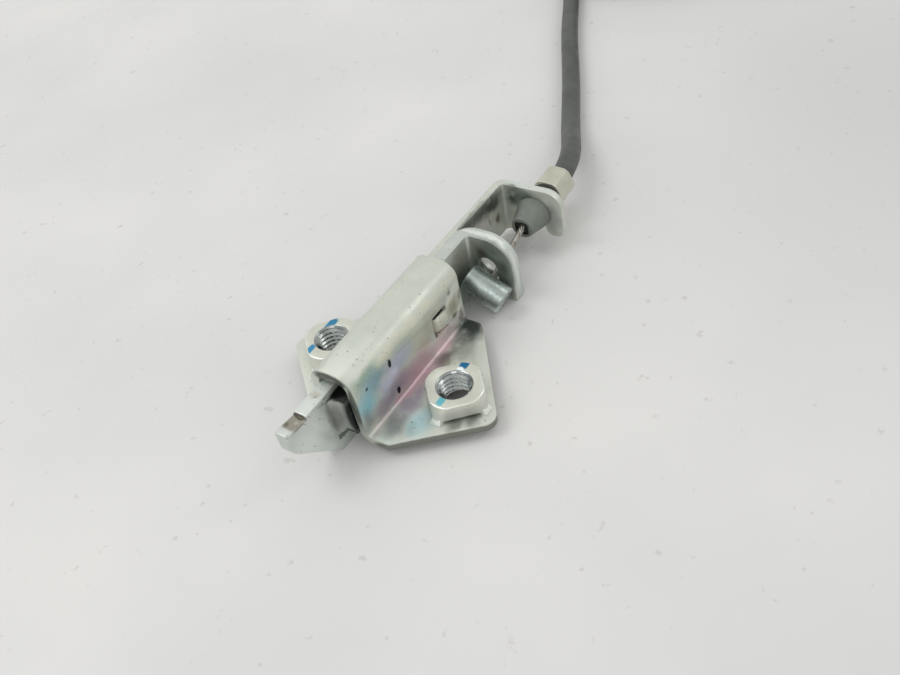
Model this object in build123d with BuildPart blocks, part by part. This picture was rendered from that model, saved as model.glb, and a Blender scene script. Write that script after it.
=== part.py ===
from build123d import *
from math import cos, sin, tan, radians, pi
import os

os.makedirs("parts", exist_ok=True)

# Frame: millimetres, +Z up, +X along the slide towards the cable, +Y to the left.
# The origin is midway between the two nut axes, on the underside of the flanges.

# Sheet of the housing
SHEET = 1.6
CHANNEL_NEAR_X = -14.0
CHANNEL_FAR_X = 17.4
WALL_INNER_Y = 3.0
WALL_OUTER_Y = WALL_INNER_Y + SHEET
CHANNEL_HEIGHT = 15.4
WEB_BEND_INNER_R = 1.4
WEB_BEND_OUTER_R = WEB_BEND_INNER_R + SHEET
FLANGE_BEND_R = 0.6

# Wing flanges, seen from above
FLANGE_NEAR_OUTER_Y = 8.7
FLANGE_NEAR_INSET = 0.2
FLANGE_APEX_X = -1.6
FLANGE_APEX_Y = 23.2
FLANGE_APEX_R = 2.4
FLANGE_FAR_X = 16.5
FLANGE_FAR_Y = 9.0
FLANGE_FAR_STEP_Y = 7.8
FLANGE_CORNER_R = 1.0

# Weld nuts
NUT_SPACING = 27.8
NUT_ACROSS_FLATS = 9.9
NUT_SIDES = 4
NUT_TURN_LEFT = 48.0
NUT_TURN_RIGHT = 43.0
NUT_FOOT_HEIGHT = 0.5
NUT_TOP_Z = 5.1
NUT_TOP_FACE_R = 5.55
NUT_CORNER_SLOPE = 28.0
NUT_FOOT_LENGTH = 2.0
NUT_FOOT_WIDTH = 2.2
NUT_FOOT_CIRCLE_R = 5.9
THREAD_MINOR_R = 2.5
THREAD_MOUTH_R = 3.3
NUT_COLLAR_R = 3.9
NUT_COLLAR_DEPTH = 1.2
COLLAR_CLEARANCE = 0.05

# Lanced tab of the right wall
WINDOW_NEAR_X = 8.1
WINDOW_FAR_X = 12.6
WINDOW_BOTTOM_Z = 4.7
WINDOW_TOP_Z = 9.7
WINDOW_CORNER_R = 0.5
TAB_BOTTOM_Z = 4.9
TAB_TOP_Z = 8.4
TAB_NEAR_X = 8.7
TAB_SLANT = 0.6
TAB_REACH_Y = 0.9
TAB_BEND_R = 0.4
HINGE_OVERLAP = 0.5
DIMPLE_X = 14.3
DIMPLE_Z = 11.0
DIMPLE_R = 0.5
DIMPLE_DEPTH = 0.5

# Arm and folded conduit tab
ARM_HEIGHT = 11.5
CONDUIT_TAB_X = 45.66
CONDUIT_TAB_REACH = 13.25
CONDUIT_TAB_LEAN = 2.4
CONDUIT_TAB_BEND_R = 0.8
CONDUIT_TAB_CORNER_R = 3.5
CONDUIT_TAB_LEG_Z = 0.7
CONDUIT_TAB_LEG_R = 1.7
CONDUIT_TAB_ROOT_R = 0.5
SLOT_R = 2.35
CABLE_Y = -4.0
CABLE_Z = 5.96

# Latch plate
LATCH_THICKNESS = 2.6
LATCH_GAP = 0.2
LATCH_LEFT_Y = WALL_INNER_Y - LATCH_GAP
LATCH_RIGHT_Y = LATCH_LEFT_Y - LATCH_THICKNESS
LATCH_TOP_Z = 12.3
FLOOR_Z = -1.8
NOSE_TIP_X = -25.8
NOSE_FRONT_Z = 8.3
NOSE_SHOULDER_X = -24.8
NOSE_SHOULDER_Z = 6.9
RAMP_MID_X = -21.1
RAMP_MID_Z = 3.1
RAMP_END_X = -16.4
RAMP_END_R = 2.0
NOTCH_NEAR_X = -24.9
NOTCH_DEEP_X = -21.3
NOTCH_FAR_X = -20.8
NOTCH_DEPTH = 0.5
FLAP_NEAR_X = -14.5
FLAP_REACH_Y = -2.8
FLAP_BEND_R = 1.5
FLAP_BOTTOM_Z = 2.0
FLAP_TOP_Z = 10.4
FLAP_ROOT_X = -16.25
FLAP_WINDOW_FAR_X = -10.2
FLAP_WINDOW_BOTTOM_Z = 0.7
FLAP_WINDOW_TOP_Z = 10.9
FLAP_WINDOW_R = 0.3
SPRING_WINDOW_GAP = 0.3
SPRING_WINDOW_BOTTOM_Z = 3.7
SPRING_WINDOW_TOP_Z = 9.3
PLATE_WINDOW_R = 0.8

# Ear of the latch
EAR_NEAR_X = 28.2
EAR_BEND_R = 1.0
EAR_BEND_END_Y = -1.0
EAR_REACH_TOP_Y = -9.1
EAR_REACH_BOTTOM_Y = -9.4
EAR_CORNER_R = 5.7
EAR_TIP_Y = -7.7
EAR_TIP_R = 0.8
EAR_INNER_Y = -5.5
EAR_INNER_Z = -0.6
EAR_ROOT_Y = -1.8
KEYHOLE_Y = -3.5
KEYHOLE_Z = 5.5
KEYHOLE_R = 2.2
KEY_SLOT_Y = -4.7
KEY_SLOT_Z = 3.1
KEY_SLOT_R = 1.1

# Spring between flap and lanced tab
SPRING_OUTER_R = 2.6
SPRING_WIRE_R = 0.35
SPRING_COILS = 10
SPRING_Z = 6.5
SPRING_END_GAP = 0.05

# Barrel nipple and inner wire
NIPPLE_R = 2.5
NIPPLE_LENGTH = 8.6
NIPPLE_TILT = 26.0
NIPPLE_X = 24.7
NIPPLE_Y = -4.75
NIPPLE_Z = 3.2
NIPPLE_CHAMFER = 0.4
WIRE_R = 0.55
WIRE_FIT = 0.05
WIRE_BEND_X = 29.5
WIRE_BEND_R = 6.0
WIRE_ENTRY = 1.0
WIRE_END_RISE = 0.24

# Conduit end at the folded tab, measured along the cable from the tab's near face
CONE_LENGTH = 5.6
CONE_SMALL_R = 2.3
CONE_BIG_R = 3.7
CONE_RIM = 0.4
CONE_BORE_R = 1.2
STEM_R = 2.2
STEM_END = 7.6
STEM_FIT = 0.05
RING_R = 3.6
RING_GROOVE_R = 3.2
RING_LIP = 0.8
HEX_START = 5.6
HEX_END = 11.5
HEX_CORNER_R = 3.9
HEX_TURN = 5.0
HEX_CHAMFER = 0.35
HEX_SOCKET_R = 2.6
HEX_SOCKET_START = 9.2

# Conduit, its coil and its far end
CONDUIT_R = 2.25
ROUTE = [
    (55.5, -3.85, 5.9),
    (62.4, -2.7, 5.66),
    (68.9, -0.3, 4.7),
    (75.2, 3.2, 2.75),
    (81.9, 7.05, 0.7),
    (89.9, 11.2, 0.45),
    (103.6, 18.3, 0.45),
    (124.6, 30.0, 0.45),
    (141.9, 38.3, 0.45),
    (158.5, 47.3, 0.45),
]
ARC_SHARE = 0.45
COIL_R = 25.0
COIL_CENTRE_X = 183.0
COIL_CENTRE_Y = 29.5
COIL_CORNER_R = 1.8
COIL_END_ANGLE = 50.0
COIL_OUTER_SWEEP = 150.0
TIE_SHEET = 0.6
TIE_WIDTH = 3.0
TIE_ANGLE = 190.0
TIE_GAP = 0.05
FAR_OUT = 3.2
FAR_GAP = 0.3
FAR_FERRULE_R = 2.9
FAR_FERRULE_LENGTH = 9.0
FAR_FERRULE_GROOVE = 0.5
FAR_FERRULE_LIP = 1.2
FAR_WIRE_STRAIGHT = 3.0
FAR_WIRE_RUN = 6.0
FAR_WIRE_DROP = 3.6
FAR_WIRE_BEND_R = 2.5
FAR_NIPPLE_R = 2.5
FAR_NIPPLE_LENGTH = 6.0

# Housing
lean = radians(CONDUIT_TAB_LEAN)
hatPoints = [
    (-FLANGE_APEX_Y, 0),
    (-WALL_INNER_Y, 0),
    (-WALL_INNER_Y, CHANNEL_HEIGHT - SHEET),
    (WALL_INNER_Y, CHANNEL_HEIGHT - SHEET),
    (WALL_INNER_Y, 0),
    (FLANGE_APEX_Y, 0),
    (FLANGE_APEX_Y, SHEET),
    (WALL_OUTER_Y, SHEET),
    (WALL_OUTER_Y, CHANNEL_HEIGHT),
    (-WALL_OUTER_Y, CHANNEL_HEIGHT),
    (-WALL_OUTER_Y, SHEET),
    (-FLANGE_APEX_Y, SHEET),
]
flangeOuterR = FLANGE_BEND_R + SHEET
hatRadii = [
    0, flangeOuterR, WEB_BEND_INNER_R, WEB_BEND_INNER_R, flangeOuterR, 0,
    0, FLANGE_BEND_R, WEB_BEND_OUTER_R, WEB_BEND_OUTER_R, FLANGE_BEND_R, 0,
]
wingHalf = [
    (CHANNEL_NEAR_X, 0),
    (CHANNEL_NEAR_X, WALL_OUTER_Y),
    (CHANNEL_NEAR_X + FLANGE_NEAR_INSET, FLANGE_NEAR_OUTER_Y),
    (FLANGE_APEX_X, FLANGE_APEX_Y),
    (FLANGE_FAR_X, FLANGE_FAR_Y),
    (CHANNEL_FAR_X, FLANGE_FAR_STEP_Y),
    (CHANNEL_FAR_X, 0),
]
wingRadii = [0, 0, FLANGE_CORNER_R, FLANGE_APEX_R, FLANGE_CORNER_R, FLANGE_CORNER_R, 0]
tabFarX = TAB_NEAR_X + SHEET
tabPoints = [
    (WINDOW_FAR_X + HINGE_OVERLAP, -WALL_OUTER_Y),
    (WINDOW_FAR_X, -WALL_OUTER_Y),
    (TAB_NEAR_X, -WALL_OUTER_Y + TAB_SLANT),
    (TAB_NEAR_X, TAB_REACH_Y),
    (tabFarX, TAB_REACH_Y),
    (tabFarX, -WALL_INNER_Y + TAB_SLANT),
    (WINDOW_FAR_X, -WALL_INNER_Y),
    (WINDOW_FAR_X + HINGE_OVERLAP, -WALL_INNER_Y),
]
tabRadii = [0, 0, TAB_BEND_R + SHEET, 0, 0, TAB_BEND_R, 0, 0]
bendEnd = CONDUIT_TAB_BEND_R + SHEET
bendNear = (CONDUIT_TAB_X + bendEnd * sin(lean), WALL_INNER_Y - bendEnd * cos(lean))
tabCornerX = CONDUIT_TAB_X + SHEET / cos(lean) - SHEET * tan(lean)
armPoints = [
    (CHANNEL_FAR_X - SHEET, WALL_INNER_Y),
    (CONDUIT_TAB_X, WALL_INNER_Y),
    bendNear,
    (bendNear[0] + SHEET * cos(lean), bendNear[1] + SHEET * sin(lean)),
    (tabCornerX, WALL_OUTER_Y),
    (CHANNEL_FAR_X - SHEET, WALL_OUTER_Y),
]
armRadii = [0, CONDUIT_TAB_BEND_R, 0, 0, CONDUIT_TAB_BEND_R + SHEET, 0]
cableAlong = (WALL_INNER_Y - CABLE_Y) / cos(lean)
conduitTabPlane = Plane(
    origin=(CONDUIT_TAB_X, WALL_INNER_Y, 0),
    x_dir=(sin(lean), -cos(lean), 0),
    z_dir=(-cos(lean), -sin(lean), 0),
)
conduitTabPoints = [
    (CONDUIT_TAB_BEND_R, 0),
    (CONDUIT_TAB_BEND_R, ARM_HEIGHT),
    (CONDUIT_TAB_REACH, ARM_HEIGHT),
    (CONDUIT_TAB_REACH, CONDUIT_TAB_LEG_Z),
    (cableAlong + SLOT_R, CONDUIT_TAB_LEG_Z),
    (cableAlong + SLOT_R, CABLE_Z),
    (cableAlong - SLOT_R, CABLE_Z),
    (cableAlong - SLOT_R, 0),
]
conduitTabRadii = [
    0, 0, CONDUIT_TAB_CORNER_R, CONDUIT_TAB_LEG_R, CONDUIT_TAB_LEG_R, 0, 0, CONDUIT_TAB_ROOT_R,
]
with BuildPart() as housing:
    with BuildSketch(Plane.YZ.offset(CHANNEL_NEAR_X)):
        with BuildLine():
            FilletPolyline(*hatPoints, radius=hatRadii, close=True)
        make_face()
    extrude(amount=CHANNEL_FAR_X - CHANNEL_NEAR_X)
    with BuildSketch(Plane.XY.offset(-SHEET)):
        with BuildLine():
            FilletPolyline(*wingHalf, radius=wingRadii, close=True)
        make_face()
        mirror(about=Plane.XZ)
    extrude(amount=CHANNEL_HEIGHT + 2 * SHEET, mode=Mode.INTERSECT)
    # clearance for the nut collars
    with BuildSketch(Plane.XY.offset(-SHEET)):
        with GridLocations(0, NUT_SPACING, 1, 2):
            Circle(NUT_COLLAR_R + COLLAR_CLEARANCE)
    extrude(amount=3 * SHEET, mode=Mode.SUBTRACT)
    # window and lanced tab in the right wall
    with BuildSketch(Plane.XZ.offset(WALL_INNER_Y - SHEET / 2)):
        with Locations(((WINDOW_NEAR_X + WINDOW_FAR_X) / 2, (WINDOW_BOTTOM_Z + WINDOW_TOP_Z) / 2)):
            RectangleRounded(WINDOW_FAR_X - WINDOW_NEAR_X, WINDOW_TOP_Z - WINDOW_BOTTOM_Z, WINDOW_CORNER_R)
    extrude(amount=2 * SHEET, mode=Mode.SUBTRACT)
    with BuildSketch(Plane.XY.offset(TAB_BOTTOM_Z)):
        with BuildLine():
            FilletPolyline(*tabPoints, radius=tabRadii, close=True)
        make_face()
    extrude(amount=TAB_TOP_Z - TAB_BOTTOM_Z)
    with BuildSketch(Plane.XZ.offset(WALL_OUTER_Y - DIMPLE_DEPTH)):
        with Locations((DIMPLE_X, DIMPLE_Z)):
            Circle(DIMPLE_R)
    extrude(amount=SHEET, mode=Mode.SUBTRACT)
    # arm and conduit tab
    with BuildSketch(Plane.XY):
        with BuildLine():
            FilletPolyline(*armPoints, radius=armRadii, close=True)
        make_face()
    extrude(amount=ARM_HEIGHT)
    with BuildSketch(conduitTabPlane):
        with BuildLine():
            FilletPolyline(*conduitTabPoints, radius=conduitTabRadii, close=True)
        make_face()
        with Locations((cableAlong, CABLE_Z)):
            Circle(SLOT_R, mode=Mode.SUBTRACT)
    extrude(amount=-SHEET)
housing.part.label = "housing"
export_step(housing.part, "parts/housing.step")

# Latch
flapFarX = FLAP_NEAR_X + LATCH_THICKNESS
springWindowFarX = tabFarX + SPRING_WINDOW_GAP
earFarX = EAR_NEAR_X + LATCH_THICKNESS
platePoints = [
    (NOSE_TIP_X, LATCH_TOP_Z),
    (NOSE_TIP_X, NOSE_FRONT_Z),
    (NOSE_SHOULDER_X, NOSE_SHOULDER_Z),
    (RAMP_MID_X, RAMP_MID_Z),
    (RAMP_END_X, FLOOR_Z),
    (EAR_NEAR_X - EAR_BEND_R, FLOOR_Z),
    (EAR_NEAR_X - EAR_BEND_R, LATCH_TOP_Z),
    (NOTCH_FAR_X, LATCH_TOP_Z),
    (NOTCH_DEEP_X, LATCH_TOP_Z - NOTCH_DEPTH),
    (NOTCH_NEAR_X, LATCH_TOP_Z),
]
plateRadii = [0.2, 0.6, 0.6, 2.0, RAMP_END_R, 0, 0, 0.2, 0.4, 0.2]
flapPoints = [
    (FLAP_ROOT_X, LATCH_RIGHT_Y),
    (FLAP_NEAR_X, LATCH_RIGHT_Y),
    (FLAP_NEAR_X, FLAP_REACH_Y),
    (flapFarX, FLAP_REACH_Y),
    (flapFarX, LATCH_LEFT_Y),
    (FLAP_ROOT_X, LATCH_LEFT_Y),
]
flapRadii = [0, FLAP_BEND_R, 0, 0, FLAP_BEND_R + LATCH_THICKNESS, 0]
earBendPoints = [
    (EAR_NEAR_X - 2 * LATCH_THICKNESS, LATCH_RIGHT_Y),
    (EAR_NEAR_X, LATCH_RIGHT_Y),
    (EAR_NEAR_X, EAR_BEND_END_Y),
    (earFarX, EAR_BEND_END_Y),
    (earFarX, LATCH_LEFT_Y),
    (EAR_NEAR_X - 2 * LATCH_THICKNESS, LATCH_LEFT_Y),
]
earBendRadii = [0, EAR_BEND_R, 0, 0, EAR_BEND_R + LATCH_THICKNESS, 0]
earPoints = [
    (EAR_BEND_END_Y, FLOOR_Z),
    (EAR_BEND_END_Y, LATCH_TOP_Z),
    (EAR_REACH_TOP_Y, LATCH_TOP_Z),
    (EAR_REACH_BOTTOM_Y, FLOOR_Z),
    (EAR_TIP_Y, FLOOR_Z),
    (EAR_INNER_Y, EAR_INNER_Z),
    (EAR_ROOT_Y, FLOOR_Z),
]
earRadii = [0, 0, EAR_CORNER_R, EAR_TIP_R, EAR_TIP_R, EAR_TIP_R, 0]
with BuildPart() as latch:
    with BuildSketch(Plane.XZ.offset(-LATCH_LEFT_Y)):
        with BuildLine():
            FilletPolyline(*platePoints, radius=plateRadii, close=True)
        make_face()
        with Locations((
            (FLAP_ROOT_X + FLAP_WINDOW_FAR_X) / 2,
            (FLAP_WINDOW_BOTTOM_Z + FLAP_WINDOW_TOP_Z) / 2,
        )):
            RectangleRounded(
                FLAP_WINDOW_FAR_X - FLAP_ROOT_X,
                FLAP_WINDOW_TOP_Z - FLAP_WINDOW_BOTTOM_Z,
                FLAP_WINDOW_R,
                mode=Mode.SUBTRACT,
            )
        with Locations((
            (FLAP_WINDOW_FAR_X - PLATE_WINDOW_R + springWindowFarX) / 2,
            (SPRING_WINDOW_BOTTOM_Z + SPRING_WINDOW_TOP_Z) / 2,
        )):
            Rectangle(
                springWindowFarX - FLAP_WINDOW_FAR_X + PLATE_WINDOW_R,
                SPRING_WINDOW_TOP_Z - SPRING_WINDOW_BOTTOM_Z,
                mode=Mode.SUBTRACT,
            )
    extrude(amount=LATCH_THICKNESS)
    with BuildSketch(Plane.XY.offset(FLAP_BOTTOM_Z)):
        with BuildLine():
            FilletPolyline(*flapPoints, radius=flapRadii, close=True)
        make_face()
    extrude(amount=FLAP_TOP_Z - FLAP_BOTTOM_Z)
    # ear with its keyhole
    with BuildSketch(Plane.XY.offset(FLOOR_Z)):
        with BuildLine():
            FilletPolyline(*earBendPoints, radius=earBendRadii, close=True)
        make_face()
    extrude(amount=LATCH_TOP_Z - FLOOR_Z)
    with BuildSketch(Plane.YZ.offset(EAR_NEAR_X)):
        with BuildLine():
            FilletPolyline(*earPoints, radius=earRadii, close=True)
        make_face()
        with Locations((KEYHOLE_Y, KEYHOLE_Z)):
            Circle(KEYHOLE_R, mode=Mode.SUBTRACT)
        SlotCenterPoint(
            ((KEYHOLE_Y + KEY_SLOT_Y) / 2, (KEYHOLE_Z + KEY_SLOT_Z) / 2),
            (KEY_SLOT_Y, KEY_SLOT_Z),
            2 * KEY_SLOT_R,
            mode=Mode.SUBTRACT,
        )
    extrude(amount=LATCH_THICKNESS)
latch.part.label = "latch"
export_step(latch.part, "parts/latch.step")

# Latch spring
springNearX = flapFarX + SPRING_WIRE_R + SPRING_END_GAP
springFarX = TAB_NEAR_X - SPRING_WIRE_R - SPRING_END_GAP
springMeanR = SPRING_OUTER_R - SPRING_WIRE_R
springPitch = (springFarX - springNearX) / SPRING_COILS
with BuildPart() as latchSpring:
    with BuildLine() as springPath:
        Helix(
            pitch=springPitch,
            height=springFarX - springNearX,
            radius=springMeanR,
            center=(springNearX, 0, SPRING_Z),
            direction=(1, 0, 0),
        )
    with BuildSketch(Plane(origin=springPath.line @ 0, z_dir=springPath.line % 0)):
        Circle(SPRING_WIRE_R)
    sweep(path=springPath.line, is_frenet=True)
latchSpring.part.label = "latch_spring"
export_step(latchSpring.part, "parts/latch_spring.step")

# Weld nuts, one node each
nutBodyZ = SHEET + NUT_FOOT_HEIGHT
for side, turn, name in ((1, NUT_TURN_LEFT, "left_weld_nut"), (-1, NUT_TURN_RIGHT, "right_weld_nut")):
    nutPlane = Plane(origin=(0, side * NUT_SPACING / 2, 0))
    with BuildPart() as weldNut:
        with BuildSketch(nutPlane.offset(nutBodyZ)):
            Rectangle(NUT_ACROSS_FLATS, NUT_ACROSS_FLATS, rotation=turn)
        extrude(amount=NUT_TOP_Z - nutBodyZ)
        # turned corners, back to a round top face
        with BuildSketch(nutPlane.offset(nutBodyZ)):
            Circle(NUT_TOP_FACE_R + (NUT_TOP_Z - nutBodyZ) * tan(radians(NUT_CORNER_SLOPE)))
        with BuildSketch(nutPlane.offset(NUT_TOP_Z)):
            Circle(NUT_TOP_FACE_R)
        loft(mode=Mode.INTERSECT)
        with BuildSketch(nutPlane.offset(SHEET)):
            with PolarLocations(NUT_FOOT_CIRCLE_R, NUT_SIDES, start_angle=turn + 180 / NUT_SIDES):
                RectangleRounded(NUT_FOOT_LENGTH, NUT_FOOT_WIDTH, NUT_FOOT_WIDTH / 5)
        extrude(amount=1.5 * NUT_FOOT_HEIGHT)
        with BuildSketch(nutPlane.offset(SHEET - NUT_COLLAR_DEPTH)):
            Circle(NUT_COLLAR_R)
        extrude(amount=NUT_COLLAR_DEPTH + 2 * NUT_FOOT_HEIGHT)
        with BuildSketch(nutPlane):
            Circle(THREAD_MINOR_R)
        extrude(amount=NUT_TOP_Z, mode=Mode.SUBTRACT)
        with BuildSketch(nutPlane.offset(NUT_TOP_Z - (THREAD_MOUTH_R - THREAD_MINOR_R))):
            Circle(THREAD_MINOR_R)
        with BuildSketch(nutPlane.offset(NUT_TOP_Z)):
            Circle(THREAD_MOUTH_R)
        loft(mode=Mode.SUBTRACT)
    weldNut.part.label = name
    export_step(weldNut.part, "parts/" + name + ".step")

# Barrel nipple
tilt = radians(NIPPLE_TILT)
nipplePlane = Plane(
    origin=(NIPPLE_X, NIPPLE_Y, NIPPLE_Z), x_dir=(1, 0, 0), z_dir=(0, cos(tilt), sin(tilt)),
)
with BuildPart() as barrelNipple:
    with BuildSketch(nipplePlane.offset(-NIPPLE_LENGTH / 2)):
        Circle(NIPPLE_R)
    extrude(amount=NIPPLE_LENGTH)
    chamfer(barrelNipple.edges().filter_by(GeomType.CIRCLE), NIPPLE_CHAMFER)
    with BuildSketch(Plane.YZ.offset(NIPPLE_X - NIPPLE_R)):
        with Locations((NIPPLE_Y, NIPPLE_Z)):
            Circle(WIRE_R + WIRE_FIT)
    extrude(amount=3 * NIPPLE_R, mode=Mode.SUBTRACT)
barrelNipple.part.label = "barrel_nipple"
export_step(barrelNipple.part, "parts/barrel_nipple.step")

# Inner wire, from the nipple into the mouth of the conduit end
cableX = CONDUIT_TAB_X + (WALL_INNER_Y - CABLE_Y) * tan(lean)
wireEndBack = CONE_LENGTH - WIRE_ENTRY
wirePoints = [
    (NIPPLE_X - NIPPLE_R, NIPPLE_Y, NIPPLE_Z),
    (WIRE_BEND_X, NIPPLE_Y, NIPPLE_Z),
    (cableX - wireEndBack * cos(lean), CABLE_Y - wireEndBack * sin(lean), CABLE_Z + WIRE_END_RISE),
]
with BuildPart() as innerWire:
    with BuildLine() as wirePath:
        FilletPolyline(*wirePoints, radius=WIRE_BEND_R)
    with BuildSketch(Plane(origin=wirePath.line @ 0, z_dir=wirePath.line % 0)):
        Circle(WIRE_R)
    sweep(path=wirePath.line)
innerWire.part.label = "inner_wire"
export_step(innerWire.part, "parts/inner_wire.step")

# Conduit end: cone, sealing ring and hex ferrule on one axis
cablePlane = Plane(
    origin=(cableX, CABLE_Y, CABLE_Z), x_dir=(-sin(lean), cos(lean), 0), z_dir=(cos(lean), sin(lean), 0),
)
with BuildPart() as noseCone:
    with BuildSketch(cablePlane.offset(-CONE_LENGTH)):
        Circle(CONE_SMALL_R)
    with BuildSketch(cablePlane.offset(-CONE_RIM)):
        Circle(CONE_BIG_R)
    loft()
    with BuildSketch(cablePlane.offset(-CONE_RIM)):
        Circle(CONE_BIG_R)
    extrude(amount=CONE_RIM)
    with BuildSketch(cablePlane):
        Circle(STEM_R)
    extrude(amount=STEM_END)
    with BuildSketch(cablePlane.offset(-CONE_LENGTH)):
        Circle(CONE_BORE_R)
    extrude(amount=CONE_LENGTH + STEM_END, mode=Mode.SUBTRACT)
noseCone.part.label = "conduit_nose_cone"
export_step(noseCone.part, "parts/conduit_nose_cone.step")

with BuildPart() as sealingRing:
    with BuildSketch(cablePlane.offset(SHEET)):
        Circle(RING_R)
        Circle(STEM_R + STEM_FIT, mode=Mode.SUBTRACT)
    extrude(amount=HEX_START - SHEET)
    with BuildSketch(cablePlane.offset(SHEET + RING_LIP)):
        Circle(RING_R)
        Circle(RING_GROOVE_R, mode=Mode.SUBTRACT)
    extrude(amount=HEX_START - SHEET - 2 * RING_LIP, mode=Mode.SUBTRACT)
sealingRing.part.label = "sealing_ring"
export_step(sealingRing.part, "parts/sealing_ring.step")

with BuildPart() as hexFerrule:
    with BuildSketch(cablePlane.offset(HEX_START)):
        RegularPolygon(HEX_CORNER_R, 6, rotation=HEX_TURN)
        Circle(STEM_R + STEM_FIT, mode=Mode.SUBTRACT)
    extrude(amount=HEX_END - HEX_START)
    with BuildSketch(cablePlane.offset(HEX_SOCKET_START)):
        Circle(HEX_SOCKET_R)
    extrude(amount=HEX_END - HEX_SOCKET_START, mode=Mode.SUBTRACT)
    with BuildSketch(cablePlane.offset(HEX_START)):
        Circle(HEX_CORNER_R - HEX_CHAMFER)
    with BuildSketch(cablePlane.offset(HEX_START + 2 * HEX_CHAMFER)):
        Circle(HEX_CORNER_R + HEX_CHAMFER)
    with BuildSketch(cablePlane.offset(HEX_END - 2 * HEX_CHAMFER)):
        Circle(HEX_CORNER_R + HEX_CHAMFER)
    with BuildSketch(cablePlane.offset(HEX_END)):
        Circle(HEX_CORNER_R - HEX_CHAMFER)
    loft(ruled=True, mode=Mode.INTERSECT)
hexFerrule.part.label = "hex_ferrule"
export_step(hexFerrule.part, "parts/hex_ferrule.step")

# Conduit: straight runs joined by tangent arcs
routePoints = [Vector(*p) for p in ROUTE]
arcRadii = []
for before, here, after in zip(routePoints, routePoints[1:], routePoints[2:]):
    shorter = min((here - before).length, (after - here).length)
    turn = radians((here - before).get_angle(after - here))
    arcRadii.append(ARC_SHARE * shorter / tan(turn / 2))
print("conduit radii", [round(r, 1) for r in arcRadii])
with BuildPart() as conduit:
    with BuildLine() as conduitPath:
        FilletPolyline(*ROUTE, radius=arcRadii)
    with BuildSketch(Plane(origin=conduitPath.line @ 0, z_dir=conduitPath.line % 0)):
        Circle(CONDUIT_R)
    sweep(path=conduitPath.line)
conduit.part.label = "conduit"
export_step(conduit.part, "parts/conduit.step")
conduitLength = sum(edge.length for edge in conduitPath.line.edges())
print("conduit length", round(conduitLength, 1))
conduitSolid = conduitLength * pi * CONDUIT_R**2
print("conduit volume over section times length", round(conduit.part.volume / conduitSolid, 4))

# Coil of the rest of the conduit
conduitOd = 2 * CONDUIT_R
coilBaseZ = FLOOR_Z + TIE_SHEET
coilAxis = Axis((COIL_CENTRE_X, COIL_CENTRE_Y, 0), (0, 0, 1))


def coilRadialPlane(angle):
    outX, outY = cos(radians(angle)), sin(radians(angle))
    origin = (COIL_CENTRE_X, COIL_CENTRE_Y, coilBaseZ)
    return Plane(origin=origin, x_dir=(outX, outY, 0), z_dir=(outY, -outX, 0))


with BuildPart() as conduitCoil:
    with BuildSketch(coilRadialPlane(0)):
        with Locations((COIL_R, conduitOd / 2)):
            RectangleRounded(2 * conduitOd, conduitOd, COIL_CORNER_R)
        with Locations((COIL_R - conduitOd / 2, conduitOd + COIL_CORNER_R / 2)):
            RectangleRounded(conduitOd, conduitOd + COIL_CORNER_R, COIL_CORNER_R)
    revolve(axis=coilAxis)
    with BuildSketch(coilRadialPlane(COIL_END_ANGLE)):
        with Locations((COIL_R + conduitOd / 2, conduitOd + COIL_CORNER_R / 2)):
            RectangleRounded(conduitOd, conduitOd + COIL_CORNER_R, COIL_CORNER_R)
    revolve(axis=coilAxis, revolution_arc=COIL_OUTER_SWEEP)
conduitCoil.part.label = "conduit_coil"
export_step(conduitCoil.part, "parts/conduit_coil.step")

# Tie around the coil
tieInner = 2 * conduitOd + 2 * TIE_GAP
tieOuter = tieInner + 2 * TIE_SHEET
with BuildPart() as coilTie:
    with BuildSketch(coilRadialPlane(TIE_ANGLE).offset(-TIE_WIDTH / 2)):
        with Locations((COIL_R, conduitOd)):
            RectangleRounded(tieOuter, tieOuter - 2 * TIE_GAP, COIL_CORNER_R)
            RectangleRounded(
                tieInner, tieInner - 2 * TIE_GAP, COIL_CORNER_R - TIE_SHEET, mode=Mode.SUBTRACT
            )
    extrude(amount=TIE_WIDTH)
coilTie.part.label = "coil_tie"
export_step(coilTie.part, "parts/coil_tie.step")

# Far end of the cable, on and beside the coil
farAngle = radians(COIL_END_ANGLE)
farOut = Vector(cos(farAngle), sin(farAngle), 0)
farAlong = Vector(sin(farAngle), -cos(farAngle), 0)
farZ = coilBaseZ + conduitOd + FAR_FERRULE_R
farOrigin = Vector(COIL_CENTRE_X, COIL_CENTRE_Y, farZ) + farOut * (COIL_R + FAR_OUT) + farAlong * FAR_GAP
farPlane = Plane(origin=farOrigin, x_dir=farOut, z_dir=farAlong)
with BuildPart() as farFerrule:
    with BuildSketch(farPlane):
        Circle(FAR_FERRULE_R)
    extrude(amount=FAR_FERRULE_LENGTH)
    with BuildSketch(farPlane.offset(FAR_FERRULE_LIP)):
        Circle(FAR_FERRULE_R)
        Circle(FAR_FERRULE_R - FAR_FERRULE_GROOVE, mode=Mode.SUBTRACT)
    extrude(amount=FAR_FERRULE_LENGTH - 2 * FAR_FERRULE_LIP, mode=Mode.SUBTRACT)
farFerrule.part.label = "far_ferrule"
export_step(farFerrule.part, "parts/far_ferrule.step")

farWireStart = farOrigin + farAlong * FAR_FERRULE_LENGTH
farWireBend = farWireStart + farAlong * FAR_WIRE_STRAIGHT
farWireEnd = farWireBend + farAlong * FAR_WIRE_RUN - Vector(0, 0, FAR_WIRE_DROP)
with BuildPart() as farWire:
    with BuildLine() as farWirePath:
        FilletPolyline(farWireStart, farWireBend, farWireEnd, radius=FAR_WIRE_BEND_R)
    with BuildSketch(Plane(origin=farWireStart, z_dir=farAlong)):
        Circle(WIRE_R)
    sweep(path=farWirePath.line)
farWire.part.label = "far_wire"
export_step(farWire.part, "parts/far_wire.step")

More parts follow.
